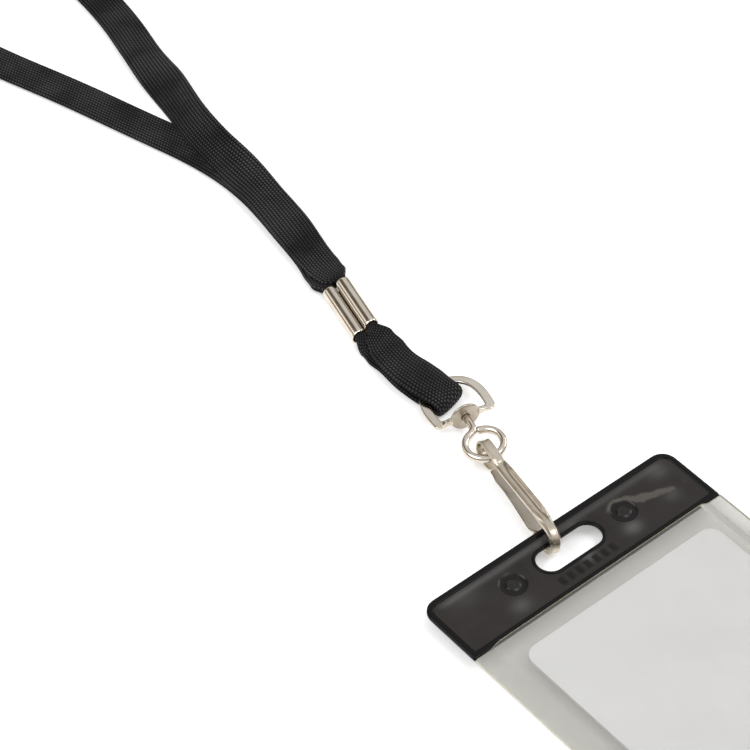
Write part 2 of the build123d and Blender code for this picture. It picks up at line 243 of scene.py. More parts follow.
def profile(at, keys, values):
    """A smooth value along a piece, from values at some keys."""
    keys, values = np.asarray(keys, float), np.asarray(values, float)
    index = np.clip(np.searchsorted(keys, at, side="right") - 1, 0, len(keys) - 2)
    t = np.clip((at - keys[index]) / (keys[index + 1] - keys[index]), 0, 1)
    t = t * t * (3 - 2 * t)
    return values[index] * (1 - t) + values[index + 1] * t


def arc_lengths(path):
    """Distance along the path to each of its points."""
    steps = np.linalg.norm(np.diff(path, axis=0), axis=1)
    return np.concatenate([[0.0], np.cumsum(steps)])


# ---- materials ------------------------------------------------------------------------------
def colour_sockets(sockets):
    """Those that hold a colour, of a Mix node that also has sockets for numbers and vectors."""
    return [socket for socket in sockets if socket.type == "RGBA"]


class Shader:
    """A material's node tree with a Principled shader, and short ways to add nodes to it."""

    def __init__(self, name, colour, roughness, **settings):
        self.material = bpy.data.materials.new(name)
        self.material.use_nodes = True
        self.tree = self.material.node_tree
        self.shader = self.tree.nodes["Principled BSDF"]
        self.output = self.tree.nodes["Material Output"]
        self.shader.inputs["Base Color"].default_value = (*colour, 1)
        self.shader.inputs["Roughness"].default_value = roughness
        for key, value in settings.items():
            self.shader.inputs[key.replace("_", " ")].default_value = value

    def node(self, kind, inputs=(), **attributes):
        made = self.tree.nodes.new("ShaderNode" + kind)
        for key, value in attributes.items():
            setattr(made, key, value)
        for key, value in dict(inputs).items():
            self.feed(made.inputs[key], value)
        return made

    def feed(self, socket, value):
        if isinstance(value, bpy.types.NodeSocket):
            self.tree.links.new(value, socket)
        else:
            socket.default_value = value

    def maths(self, operation, *values):
        return self.node("Math", dict(enumerate(values)), operation=operation).outputs[0]

    def place(self):
        """Position on the model, in metres."""
        return self.node("TexCoord").outputs["Object"]

    def noise(self, scale, detail=3.0, vector=None, roughness=0.5):
        inputs = {"Scale": scale, "Detail": detail, "Roughness": roughness}
        inputs["Vector"] = vector or self.place()
        return self.node("TexNoise", inputs).outputs["Fac"]

    def blend_colours(self, factor, dark, light):
        made = self.node("Mix", data_type="RGBA")
        self.feed(made.inputs["Factor"], factor)
        for socket, value in zip(colour_sockets(made.inputs), (dark, light)):
            self.feed(socket, value if isinstance(value, bpy.types.NodeSocket) else (*value, 1))
        return colour_sockets(made.outputs)[0]

    def attribute(self, name):
        return self.node("Attribute", attribute_name=name).outputs["Fac"]

    def spread(self, value, low, high, out_low, out_high):
        inputs = {0: value, 1: low, 2: high, 3: out_low, 4: out_high}
        return self.node("MapRange", inputs).outputs[0]

    def set(self, name, value):
        self.feed(self.shader.inputs[name], value)

    def bump(self, height, distance, strength=1.0):
        inputs = {"Height": height, "Distance": distance, "Strength": strength}
        self.set("Normal", self.node("Bump", inputs).outputs[0])


def braid_material():
    """Black polyester braid: ribs of short cross stitches, drawn by rib number and length. The
    crowns are painted lighter and the gaps darker: painted light and shade.
    """
    s = Shader("black_braid", (0.014, 0.0135, 0.014), 0.62, Specular_IOR_Level=0.08,
               Sheen_Weight=0.02, Sheen_Roughness=0.4)
    axes = s.node("SeparateXYZ", {0: s.node("TexCoord").outputs["UV"]})
    rib, along = axes.outputs[0], axes.outputs[1]
    column = s.maths("FLOOR", rib)
    stagger = s.maths("MULTIPLY", s.maths("MODULO", column, 2.0), 0.5)
    stitch = s.maths("ADD", s.maths("DIVIDE", along, STITCH), stagger)
    crown = s.maths("ABSOLUTE", s.maths("SINE", s.maths("MULTIPLY", rib, pi)))
    crown = s.maths("POWER", crown, 0.6)
    tick = s.maths("ABSOLUTE", s.maths("SINE", s.maths("MULTIPLY", stitch, pi)))
    tick = s.maths("POWER", tick, 0.7)
    height = s.maths("MULTIPLY", crown, s.spread(tick, 0, 1, 0.15, 1.0))
    fuzz = s.noise(2600, 2.0)
    height = s.maths("ADD", height, s.maths("MULTIPLY", fuzz, 0.25))
    wear_and_sheen = s.noise(90, 3.0)
    # Painted light and shade: the base colour is lighter on the crowns of the ribs and stitches and
    # darker in the gaps between them.
    lit = s.maths("MULTIPLY", height, s.spread(wear_and_sheen, 0.35, 0.7, 0.75, 1.15))
    painted_crown_light = s.maths("POWER", lit, 3.2)
    s.set("Base Color", s.blend_colours(painted_crown_light, (0.001, 0.001, 0.0011), (0.06, 0.0585, 0.0592)))
    s.set("Roughness", s.spread(fuzz, 0.3, 0.7, 0.5, 0.72))
    s.bump(height, 0.0003, 1.0)
    return s.material


def metal_material(name, colour, shade, roughness):
    """Plated metal with a little tarnish and fine polishing marks."""
    s = Shader(name, colour, roughness, Metallic=1.0)
    cloud = s.noise(170, 3.0)
    fine = s.noise(2600, 2.0)
    s.set("Base Color", s.blend_colours(s.spread(cloud, 0.35, 0.68, 0, 1), shade, colour))
    s.set("Roughness", s.spread(cloud, 0.3, 0.7, roughness * 0.8, roughness * 1.25))
    s.bump(s.maths("ADD", cloud, s.maths("MULTIPLY", fine, 0.05)), 0.00005, 0.12)
    return s.material


def black_vinyl_material():
    """Glossy black PVC, as in the welded beads and the band's back."""
    s = Shader("black_vinyl", (0.003, 0.0029, 0.0028), 0.22, Specular_IOR_Level=0.15)
    cloud = s.noise(160, 3.0)
    s.set("Roughness", s.spread(cloud, 0.3, 0.7, 0.16, 0.34))
    s.set("Base Color", s.blend_colours(cloud, (0.0018, 0.0018, 0.0018), (0.005, 0.0048, 0.0046)))
    s.bump(s.noise(500, 2.0), 0.00006, 0.3)
    return s.material


def smoked_vinyl_material():
    """Smoked translucent PVC over the dark back layer: pressed welds are black, the air gap is
    pale, and pale patches of painted highlight stand for the glossy film's soft reflections."""
    s = Shader("smoked_vinyl", (0.035, 0.033, 0.031), 0.3, Specular_IOR_Level=0.26)
    cloud = s.noise(75, 3.0)
    shade = s.spread(cloud, 0.3, 0.7, 0, 1)
    body = s.blend_colours(shade, (0.0145, 0.0118, 0.0104), (0.0215, 0.018, 0.0162))
    body = s.blend_colours(s.attribute("air"), body, (0.075, 0.068, 0.058))
    # Painted highlight: pale neutral patches that stand for the film's soft reflections.
    body = s.blend_colours(s.attribute("painted_highlight"), body, (0.088, 0.086, 0.085))
    body = s.blend_colours(s.attribute("weld"), body, (0.0025, 0.0025, 0.0025))
    s.set("Base Color", body)
    s.set("Roughness", s.spread(s.noise(300, 2.0), 0.3, 0.7, 0.2, 0.32))
    s.bump(cloud, 0.0005, 0.3)
    return s.material


def clear_vinyl_material(name, tint, haze):
    """Clear PVC sheet with a slight haze; what lies under it shows through."""
    s = Shader(name, (0.62, 0.61, 0.58), 0.16, Specular_IOR_Level=0.6)
    cloud = s.noise(60, 3.0)
    s.bump(s.maths("ADD", cloud, s.maths("MULTIPLY", s.noise(700, 2.0), 0.1)), 0.0006, 0.35)
    clear = s.node("BsdfTransparent", {"Color": (*tint, 1)})
    facing = s.node("LayerWeight", {"Blend": 0.22}).outputs["Fresnel"]
    uneven = s.spread(cloud, 0.3, 0.7, haze * 0.7, haze * 1.3)
    factor = s.maths("MINIMUM", s.maths("ADD", facing, uneven), 1.0)
    mix = s.node("MixShader", {0: factor, 1: clear.outputs[0], 2: s.shader.outputs[0]})
    s.tree.links.new(mix.outputs[0], s.output.inputs["Surface"])
    return s.material


def vinyl_edge_material():
    """The cut edge of a clear sheet, where the light gathers: pale yellow-green."""
    s = Shader("clear_vinyl_edge", (0.62, 0.60, 0.40), 0.3)
    s.set("Base Color", s.blend_colours(s.noise(300, 2.0), (0.5, 0.48, 0.28), (0.72, 0.7, 0.46)))
    return s.material


def card_material():
    """Blank white card stock, slightly cool."""
    s = Shader("card_stock", (0.83, 0.835, 0.855), 0.42)
    cloud = s.noise(40, 2.0)
    s.set("Base Color", s.blend_colours(cloud, (0.815, 0.82, 0.84), (0.85, 0.852, 0.868)))
    s.bump(s.noise(1800, 3.0), 0.00004, 0.4)
    return s.material


def tie_material():
    """Hook-and-loop tape: a dark napped surface."""
    s = Shader("tie_nap", (0.02, 0.02, 0.022), 0.85, Sheen_Weight=0.5)
    nap = s.noise(1500, 4.0, roughness=0.7)
    cells = s.node("TexVoronoi", {"Vector": s.place(), "Scale": 1300.0}).outputs["Distance"]
    height = s.maths("ADD", nap, s.maths("MULTIPLY", cells, 0.6))
    s.set("Base Color", s.blend_colours(height, (0.006, 0.006, 0.007), (0.04, 0.04, 0.043)))
    s.bump(height, 0.0004, 0.8)
    return s.material


def floor_material():
    """A pale, faintly lit table, so that the shadows on it stay light."""
    s = Shader("pale_floor", (0.9, 0.9, 0.9), 0.8, Specular_IOR_Level=0.1,
               Emission_Color=(1, 1, 1, 1), Emission_Strength=0.3)
    cloud = s.noise(6, 2.0)
    s.set("Base Color", s.blend_colours(cloud, (0.895, 0.895, 0.895), (0.91, 0.91, 0.91)))
    return s.material


BRAID = braid_material()
NICKEL = metal_material("nickel_plate", (0.75, 0.695, 0.61), (0.64, 0.58, 0.495), 0.18)
# The disc's nickel is rougher, and its colour is painted darker: painted shade for the dark
# surroundings that the disc mirrors.
ROUGH_NICKEL_PAINTED_DARK = metal_material("rough_nickel_painted_dark", (0.6, 0.55, 0.47), (0.4, 0.35, 0.28), 0.3)
SATIN_NICKEL = metal_material("satin_nickel", (0.7, 0.635, 0.54), (0.54, 0.48, 0.39), 0.3)
# Spring steel, darker than the plating; its colour is also set darker as painted shade on the leaf.
SPRING = metal_material("spring_steel", (0.5, 0.455, 0.39), (0.38, 0.34, 0.28), 0.3)
BLACK_VINYL = black_vinyl_material()
SMOKED_VINYL = smoked_vinyl_material()
CLEAR_VINYL = clear_vinyl_material("clear_vinyl", (0.965, 0.964, 0.958), 0.05)
# The back sheet is tinted darker than the front: painted shade on what shows through it beside the
# card, below the band.
CLEAR_BACK = clear_vinyl_material("clear_vinyl_back", (0.87, 0.867, 0.855), 0.1)
VINYL_EDGE = vinyl_edge_material()
CARD = card_material()
TIE = tie_material()

KEPT = {"band_back": BLACK_VINYL, "pocket_back": CLEAR_BACK, "insert_card": CARD}
for node_name, material in KEPT.items():
    materials = frame["nodes"][node_name].data.materials
    materials.clear()
    materials.append(material)


# ---- flat braid -----------------------------------------------------------------------------
def braid_section(width, thick, cup):
    """Offsets of the flat braid for each station, and the rib number of each point round it. The
    ribs stand out more where the braid is gathered. cup raises both long edges."""
    count = 6 * RIBS + 1
    u = np.sin(np.linspace(-pi / 2, pi / 2, count)) * 0.35 + np.linspace(-1, 1, count) * 0.65
    edge = np.sqrt(np.clip(1 - np.abs(u) ** 5, 0, 1))
    rib = np.abs(np.sin(pi * RIBS * (u + 1) / 2)) ** 0.7
    gathered = 1 - ramp(width, 4.0, 9.0)
    swell = (0.10 + 0.16 * gathered)[:, None] * (rib * edge)[None, :]
    half = (np.asarray(thick) / 2 - 0.06)[:, None] * edge[None, :] + swell
    curl = np.outer(cup, u ** 2)
    across = np.outer(np.asarray(width) / 2, there_and_back(u))
    up = np.concatenate([curl - half, (curl + half)[:, -2:0:-1]], axis=1)
    return across, up, there_and_back((u + 1) / 2 * RIBS)


def strap(name, path, roll, width, thick, side=None, cup=0.0):
    """A flat tubular braid along path: rounded edges, lengthwise ribs, and UVs that count the ribs
    across and the millimetres along. roll turns it about its own line."""
    tangent = unit(np.gradient(path, axis=0))
    if side is None:
        side = np.cross([0.0, 0.0, 1.0], tangent)
    side = unit(np.broadcast_to(np.asarray(side, float), path.shape))
    turn = np.asarray(roll)[:, None]
    side = side * np.cos(turn) + np.cross(tangent, side) * np.sin(turn)
    across, up, rib_number = braid_section(width, thick, np.broadcast_to(cup, len(path)))
    obj = sweep(name, path, side, across, up, BRAID)
    corner = np.zeros(len(obj.data.loops), np.int32)
    obj.data.loops.foreach_get("vertex_index", corner)
    station, place = corner // len(rib_number), corner % len(rib_number)
    uv = np.column_stack([rib_number[place], arc_lengths(path)[station]]).astype(np.float32)
    obj.data.uv_layers.new(name="braid").data.foreach_set("uv", uv.ravel())
    return obj


def run_into_barrels(path, way):
    """Adds straight stations at both ends, along X (way 1) or against it (way -1), so that the
    strap goes on into the crimp's barrels. Also gives the distance from the barrels' mouths, from
    the first end and from the last."""
    steps = np.linspace(1, 0, 4, endpoint=False)[:, None] * INTO_BARREL
    first = path[0] + [way, 0.0, 0.0] * steps
    last = path[-1] + [way, 0.0, 0.0] * steps[::-1]
    longer = np.concatenate([first, path, last])
    s = arc_lengths(longer) - INTO_BARREL
    return longer, s, s[-1] - INTO_BARREL - s


def coil_turns():
    """Control points of the coil, which rises where it passes over the leg that comes in."""
    steps, over = 16, (6, 7, 8)
    points = []
    for k in range(steps + 1):
        angle = radians(COIL_START + (COIL_END - COIL_START) * k / steps)
        radius = COIL_IN + (COIL_OUT - COIL_IN) * k / steps
        points.append((COIL_CENTRE[0] + radius * cos(angle), COIL_CENTRE[1] + radius * sin(angle),
                       COIL_OVER if k in over else COIL_Z))
    return points


def neck_strap():
    """The free loop of strap: both legs and the coil in which the rest is put away."""
    path = nurbs_path(LEG_UPPER + INTO_COIL + coil_turns()[:-1] + LEG_LOWER, 20)
    body, s, back = run_into_barrels(path, 1.0)
    near = np.minimum(s, back)
    width = profile(near, [-0.6, 2.6, 7.0, 26.0], [BARREL_FILL[0], 7.2, 8.2, STRAP_W])
    thick = profile(near, [-0.5, 5.0], [BARREL_FILL[1], STRAP_T])
    # The braid stands on edge in the coil. The upper leg leans and then twists over, and the
    # lower one leans a little beside the crimp.
    on_edge = np.minimum(ramp(s, 178, 245), ramp(back, 145, 200))
    twist = ramp(s, 34, 56) * (1 - ramp(s, 72, 104))
    roll = radians(-90) * on_edge
    roll += radians(-10) * (1 - ramp(s, 5, 45)) + radians(-48) * twist
    roll += radians(7) * (1 - ramp(back, 5, 40))
    obj = strap("neck_strap", body, roll, width, thick)
    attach(obj, "strap_end")
    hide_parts("neck_strap_upper_leg", "neck_strap_lower_leg", "neck_strap_coil")
    return obj, path


def storage_band():
    """The hook-and-loop tie round the coil's turns, its end lapped over itself on top."""
    middle = (COIL_CENTRE[0], COIL_CENTRE[1] - 50.0, COIL_Z)
    half_y, half_z = 6.0, 5.5
    loop = [(-1.0, 0.5 + half_z), (-half_y * 0.7, 0.45 + half_z), (-half_y, half_z), (-half_y, 0),
            (-half_y, -half_z), (0, -half_z), (half_y, -half_z), (half_y, 0), (half_y, half_z),
            (0, half_z), (-half_y * 0.4, half_z - 0.1)]
    route = [(middle[0], middle[1] + y, middle[2] + z) for y, z in loop]
    path = nurbs_path(route, 10)
    flat = np.zeros(len(path))
    obj = strap("storage_strap", path, flat, flat + TIE_W, flat + TIE_T, side=[1.0, 0.0, 0.0])
    obj.data.materials[0] = TIE
    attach(obj, "strap_end")
    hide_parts("storage_tie")
    return obj


neck, neck_path = neck_strap()
tie = storage_band()


def lower_loop():
    """The strap below the crimp, doubled through the D-ring; its fold lies slanting."""
    path, s, back = run_into_barrels(nurbs_path(LOWER_LOOP, 14), -1.0)
    near = np.minimum(s, back)
    heading = np.array([cos(LOOP_YAW), sin(LOOP_YAW), 0.0])
    perp = np.array([-sin(LOOP_YAW), cos(LOOP_YAW), 0.0])
    to_fold = (np.array(FOLD_TIP) - path) @ heading
    width = profile(near, [-0.6, 3.6, 8.0, 18.0], [BARREL_FILL[0], 6.6, 8.3, 9.9])
    width = width - 1.2 * (1 - ramp(to_fold, 1, 8))
    thick = profile(near, [-0.5, 5.5], [BARREL_FILL[1], STRAP_T])
    roll = radians(16) * (1 - ramp(s, 3, 14)) - radians(16) * (1 - ramp(back, 3, 12))
    cup = -0.25 * ramp(near, 4, 10)
    obj = strap("lower_loop_strap", path, roll, width, thick, side=perp, cup=cup)
    co = points_of(obj)
    slant = 0.24 * ((co - FOLD_TIP) @ perp) * ramp((co - FOLD_TIP) @ heading, -9, 0)
    set_points(obj, co - heading * slant[:, None])
    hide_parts("strap_lower_loop")
    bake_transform(obj)
    return obj


lower_loop()


# ---- crimp, D-ring, swivel and hook ---------------------------------------------------------
def crimp_line():
    """The crimp's sheet seen end on: a barrel, the flat strip under the seam, the other barrel."""
    around = np.radians(np.linspace(12, 262, 44))
    barrel = [(-BARREL_OUT + BARREL_R * cos(a), BARREL_R * sin(a)) for a in around]
    flat = [(x, -BARREL_R * 0.985) for x in np.linspace(-1.2, 1.2, 7)]
    return np.array(barrel + flat + [(-x, y) for x, y in barrel[::-1]])


def crimp_sleeve():
    """One strip of sheet metal, both ends rolled up into a barrel each, its seam between them. Its
    ends aren't cut quite square."""
    line = crimp_line()
    normal = unit(np.gradient(line, axis=0)) @ [[0, -1], [1, 0]]
    x = np.concatenate([[0, 0.05, 0.16], np.linspace(0.5, CRIMP_LENGTH - 0.5, 24),
                        [CRIMP_LENGTH - 0.16, CRIMP_LENGTH - 0.05, CRIMP_LENGTH]])
    from_end = np.minimum(x, CRIMP_LENGTH - x)
    half = BARREL_WALL / 2 * (0.45 + 0.55 * ramp(from_end, -0.02, 0.16))
    index = np.arange(len(line))
    tip = np.minimum(1, 0.4 + np.minimum(index, index[::-1]) * 0.35)
    wall = normal[None] * half[:, None, None] * tip[None, :, None]
    ring = np.concatenate([line[None] + wall, (line[None] - wall)[:, ::-1]], axis=1)
    path = np.column_stack([-x, 0 * x, 0 * x])
    turn = Matrix.Translation(CRIMP_END) @ Matrix.Rotation(CRIMP_ROLL, 4, "X")
    obj = sweep("crimp_barrels", path, [0.0, 1.0, 0.0], ring[:, :, 0], -ring[:, :, 1], NICKEL, turn)
    co = points_of(obj) - CRIMP_END
    lower_end = ramp(co[:, 0], -7, 0)
    upper_end = 1 - ramp(co[:, 0], -CRIMP_LENGTH, 7 - CRIMP_LENGTH)
    co[:, 0] += (0.1 - 0.15 * co[:, 1]) * lower_end + 0.6 * upper_end
    set_points(obj, co + CRIMP_END)
    keep_edges(obj, 50)
    return place_metal(obj, "strap_end", "nickel", "crimp_sleeve")


def place_metal(obj, body, slot, *nodes):
    """Rides a metal piece on its body, in place of CAD nodes."""
    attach(obj, body)
    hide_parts(*nodes)
    return obj


def ring_route():
    """Control points of the D: from the disc along half the bar, round the bow, and back."""
    half = [(0.0, 3.2, 0.0), (0.0, 3.9, 0.0), (0.0, 4.6, 0.0), (0.0, 5.5, 0.0), (0.0, 6.3, 0.0),
            (-0.7, 6.38, 0.0), (-2.0, 6.5, 0.0), (-RING_LEG, 6.6, 0.0)]
    bow = [(-RING_LEG - 1.01 * (RING_REACH - RING_LEG) * sin(a) ** 0.8,
            6.65 * abs(cos(a)) ** 0.8 * (1 if a < pi / 2 else -1), 0.0)
           for a in np.radians([12, 24, 37, 50, 63, 76, 90, 104, 117, 130, 143, 156, 168])]
    return half + bow + [(x, -y, z) for x, y, z in half[::-1]]


def d_ring():
    """A flat stamped D, whose bar necks down and twists where it meets the disc."""
    path = nurbs_path(ring_route(), 8)
    s = arc_lengths(path)
    near = np.minimum(s, s[-1] - s)
    width = profile(near, [0.3, 1.4, 2.6], [1.2, 1.3, RING_BAND])
    height = profile(near, [0.3, 1.4, 2.4], [1.5, 1.2, RING_T])
    across, up = rounded_section(width, height, 5, 28)
    tilt = (Matrix.Translation(SWIVEL) @ Matrix.Rotation(RING_YAW, 4, "Z")
            @ Matrix.Rotation(-RING_TILT, 4, "Y") @ Matrix.Rotation(RING_ROLL, 4, "X"))
    tangent = unit(np.gradient(path, axis=0))
    side = np.cross([0.0, 0.0, 1.0], tangent)
    band = sweep("d_ring_band", path, side, across, up, NICKEL, tilt)
    keep_edges(band, 50)
    return place_metal(band, "ring", "nickel", "d_ring")


def ring_disc():
    """The upright disc in the middle of the D-ring's bar, in which the swivel turns."""
    # Its metal is painted darker than the ring's: painted shade for what the disc mirrors.
    disc = turned("d_ring_disc", [
        (DISC_HOLE, -0.22), (DISC_HOLE + 0.12, -0.38), (DISC_HOLE + 0.5, -0.42), (2.4, -0.42),
        (DISC_R - 0.25, -0.34), (DISC_R - 0.05, -0.2), (DISC_R, 0.0), (DISC_R - 0.05, 0.2),
        (DISC_R - 0.25, 0.34), (2.4, 0.30), (DISC_HOLE + 0.5, 0.36), (DISC_HOLE + 0.12, 0.36),
        (DISC_HOLE, 0.22)], ROUGH_NICKEL_PAINTED_DARK, Matrix.Translation(SWIVEL))
    return place_metal(disc, "ring", "nickel", "d_ring")


def turned(name, outline, material, matrix, steps=64):
    """A solid of revolution about the X axis from a closed outline of (radius, x)."""
    outline = np.array(outline)
    angle = np.linspace(0, 2 * pi, steps, endpoint=False)
    r, x = outline[:, 0], outline[:, 1]
    points = np.stack([np.broadcast_to(x, (steps, len(x))), np.outer(np.cos(angle), r),
                       np.outer(np.sin(angle), r)], axis=-1)
    count = len(outline)
    faces = []
    for k in range(steps):
        for j in range(count):
            a, b = k * count + j, k * count + (j + 1) % count
            c, d = ((k + 1) % steps) * count + (j + 1) % count, ((k + 1) % steps) * count + j
            faces.append((a, b, c, d))
    obj = new_mesh(name, moved(points.reshape(-1, 3), matrix), faces, material)
    keep_edges(obj, 55)
    return obj


def swivel_eye():
    """A wire with a riveted head behind the disc, bent round into an eye; its cut end closes
    against the neck."""
    neck = [(-1.15, 0.0, 0.0), (-0.55, 0.0, 0.0), (0.6, 0.0, 0.0), (2.2, 0.0, 0.0), (3.9, 0.0, 0.0),
            (5.0, -0.35, 0.0)]
    turn = [(EYE_X + 1.05 * EYE_R * cos(a), 1.05 * EYE_R * sin(a), 0.0)
            for a in np.radians([*range(212, 519, 17), 535])]
    path = nurbs_path(neck + turn, 10)
    path[:, 2] += 0.12 * ramp(path[:, 0], 4, 7)
    s = arc_lengths(path)
    radius = profile(s, [0.0, 0.12, 0.5, 0.56, 0.75], [1.2, 1.62, 1.7, 1.55, WIRE_R])
    radius = radius * (1 - 0.3 * ramp(s, s[-1] - 0.22, s[-1]))
    across, up = rounded_section(2 * radius, 2 * radius, 2, 28)
    roll = Matrix.Translation(SWIVEL) @ Matrix.Rotation(EYE_ROLL, 4, "X")
    obj = sweep("swivel_wire", path, [0.0, 0.0, 1.0], across, up, NICKEL, roll)
    keep_edges(obj, 55)
    return place_metal(obj, "swivel", "nickel", "swivel_eye")


def hook_matrix():
    """Places the hook and its leaf on the eye."""
    return (Matrix.Translation(SWIVEL) @ Matrix.Translation((EYE_X + EYE_R, HOOK_SLIDE, 0))
            @ Matrix.Rotation(HOOK_YAW, 4, "Z") @ Matrix.Rotation(-HOOK_ROLL, 4, "X"))


def hook_route():
    """Control points of the hook in its own upright plane: the tab, the arm and the J bend."""
    under = [(1.6, 0, -2.0), (0.4, 0, -2.0), (-1.2, 0, -2.0)]
    curl = [(-2.2 - 2.12 * sin(a), 0, -2.12 * cos(a)) for a in np.radians(np.arange(20, 161, 20))]
    arm = [(-1.0, 0, 2.04), (1.4, 0, 2.02), (3.0, 0, 1.94), (4.0, 0, 1.5), (5.2, 0, 1.5),
           (7.5, 0, 1.68), (13.0, 0, 2.22), (20.0, 0, 2.9), (23.6, 0, 3.22)]
    bend = [(25.9 + 3 * sin(a), 0, 0.3 + 3 * cos(a)) for a in np.radians(np.arange(12, 180, 19))]
    return under + curl + arm + bend + [(24.6, 0, -2.62), (23.0, 0, -2.6), (21.3, 0, -2.58)]


def hook_body():
    """The stamped hook: a flat tab curled over the eye, a half-round channel arm that leans to one
    side, and a J bend."""
    path = nurbs_path(hook_route(), 12)
    s = arc_lengths(path)
    tab, shoulder, arm, low, corner = [s[np.argmin(np.abs(path[:, 0] - x) + 10 * (path[:, 2] < 0))]
                                       for x in (3.2, 4.6, 8.5, 20.0, 25.6)]
    keys = [0.0, 0.35, tab, shoulder, arm, low, corner, s[-1] - 2.2, s[-1] - 0.25, s[-1]]
    width = profile(s, keys, [1.6, 2.5, 2.5, 2.8, 2.8, 2.8, 2.3, 2.3, 1.9, 1.1])
    thick = profile(s, keys, [0.4, 0.5, 0.5, 0.5, 0.5, 0.6, 1.3, 1.15, 0.9, 0.6])
    sag = profile(s, keys, [0, 0.05, 0.3, 0.6, 1.0, 0.95, 0.25, 0.1, 0.05, 0.0])
    lean = profile(s, keys, [0, 0, 0, 0.1, 0.24, 0.24, 0.1, 0, 0, 0])[:, None]
    across, up = strip_section(width, thick, sag)
    leant = across * np.cos(lean) + up * np.sin(lean)
    up = up * np.cos(lean) - across * np.sin(lean)
    obj = sweep("hook_stamping", path, [0.0, 1.0, 0.0], leant, -up, SATIN_NICKEL, hook_matrix())
    keep_edges(obj, 60)
    return place_metal(obj, "hook", "nickel", "hook_body")


def gate_leaf():
    """The spring strip that closes the hook: narrow at its root, and wide and curved across at
    its tip."""
    route = [(1.9, 0.1, -2.02), (4.5, 0.3, -1.9), (9.0, 0.5, -1.7), (14.0, 0.55, -1.6),
             (18.5, 0.5, -1.55), (22.2, 0.4, -1.55)]
    path = nurbs_path(route, 14)
    s = arc_lengths(path)
    end = s[-1]
    width = profile(s, [0, 0.4, 4.0, end - 1.2, end - 0.25, end], [1.6, 2.4, 3.6, 4.7, 4.0, 2.6])
    across, up = strip_section(width, np.full(len(s), 0.34), 0.32 * ramp(s, 2, 8))
    obj = sweep("gate_spring", path, [0.0, 1.0, 0.0], across, -up, SPRING, hook_matrix())
    keep_edges(obj, 60)
    return place_metal(obj, "gate", "spring_steel", "gate_leaf")


crimp_sleeve()
d_ring()
ring_disc()
swivel_eye()
hook_body()
gate_leaf()


# ---- card holder ----------------------------------------------------------------------------
def holder_matrix():
    """Places the holder's own plane, whose x runs down from its top edge and y across."""
    tilt = atan2(HOLDER_TOP[2], HOLDER_H)
    turn = Matrix.Rotation(HOLDER_YAW, 4, "Z") @ Matrix.Rotation(tilt, 4, "Y")
    return Matrix.Translation(HOLDER_TOP) @ turn


def rounded_box(x0, x1, half, r_top, r_low, inset=0.0, steps=9):
    """Outline of a rectangle in the holder's plane from x0 to x1, with the corner radii r_top at
    x0 and r_low at x1."""
    x0, x1, half = x0 + inset, x1 - inset, half - inset
    r_top, r_low = max(r_top - inset, 0.25), max(r_low - inset, 0.25)
    corners = [(x0 + r_top, half - r_top, r_top, 90), (x0 + r_top, -half + r_top, r_top, 180),
               (x1 - r_low, -half + r_low, r_low, 270), (x1 - r_low, half - r_low, r_low, 0)]
    points = []
    for cx, cy, r, start in corners:
        for k in range(steps + 1):
            a = radians(start + 90 * k / steps)
            points.append((cx + r * cos(a), cy + r * sin(a)))
    return resample(points, 0.9)


def stadium(centre, length, width, grow=0.0, steps=22):
    """Outline of the slot, larger by grow all round."""
    r, run = width / 2 + grow, (length - width) / 2
    points = []
    for side, start in ((1, 0), (-1, 180)):
        for k in range(steps + 1):
            a = radians(start + 180 * k / steps)
            points.append((centre + r * cos(a), side * run + r * sin(a)))
    return resample(points, 0.7)


def circle(cx, cy, r, steps=40):
    angles = [2 * pi * k / steps for k in range(steps)]
    return [(cx + r * cos(a), cy + r * sin(a)) for a in angles]


def resample(points, step):
    """Splits the long sides of a closed outline, so that no run is longer than step."""
    made = []
    for a, b in zip(points, points[1:] + points[:1]):
        distance = hypot(b[0] - a[0], b[1] - a[1])
        if distance < 1e-4:
            continue
        parts = max(1, int(np.ceil(distance / step)))
        made += [(a[0] + (b[0] - a[0]) * k / parts, a[1] + (b[1] - a[1]) * k / parts)
                 for k in range(parts)]
    return made


def distance_to(outline, xy):
    """Distance of each point to a closed outline."""
    a = np.array(outline)
    b = np.roll(a, -1, axis=0)
    best = np.full(len(xy), FAR)
    for p, q in zip(a, b):
        d = q - p
        t = np.clip(((xy - p) @ d) / (d @ d), 0, 1)
        best = np.minimum(best, np.hypot(*(xy - p - t[:, None] * d).T))
    return best


def inside(outline, xy):
    """True for each point within a closed outline."""
    a = np.array(outline)
    b = np.roll(a, -1, axis=0)
    hit = np.zeros(len(xy), bool)
    for (x1, y1), (x2, y2) in zip(a, b):
        crosses = (y1 > xy[:, 1]) != (y2 > xy[:, 1])
        at = (x2 - x1) * (xy[:, 1] - y1) / (y2 - y1 if y2 != y1 else 1e-12) + x1
        hit ^= crosses & (xy[:, 0] < at)
    return hit


def triangulate(outer, holes, loops, spacing):
    """A fine triangle mesh between outer and holes, with loops kept as rows of points."""
    coords, edges = [], []
    for outline in [outer, *holes, *loops]:
        start = len(coords)
        coords += [Vector(p) for p in outline]
        edges += [(start + k, start + (k + 1) % len(outline)) for k in range(len(outline))]
    fixed = np.array([tuple(c) for c in coords])
    low, high = fixed.min(0), fixed.max(0)
    grid = []
    for row, x in enumerate(np.arange(low[0] + spacing / 2, high[0], spacing * 0.87)):
        shift = spacing / 2 if row % 2 else 0
        grid += [(x, y) for y in np.arange(low[1] + shift, high[1], spacing)]
    grid = np.array(grid)
    near = np.full(len(grid), FAR)
    for outline in [outer, *holes, *loops]:
        near = np.minimum(near, distance_to(outline, grid))
    keep = inside(outer, grid) & (near > spacing * 0.45)
    coords += [Vector(p) for p in grid[keep]]
    points, _, triangles, *_ = delaunay_2d_cdt(coords, edges, [], 0, 1e-5)
    points = np.array([tuple(p) for p in points])
    centres = np.array([points[list(t)].mean(0) for t in triangles])
    wanted = inside(outer, centres)
    for hole in holes:
        wanted &= ~inside(hole, centres)
    return points, [tuple(t) for t, good in zip(triangles, wanted) if good]


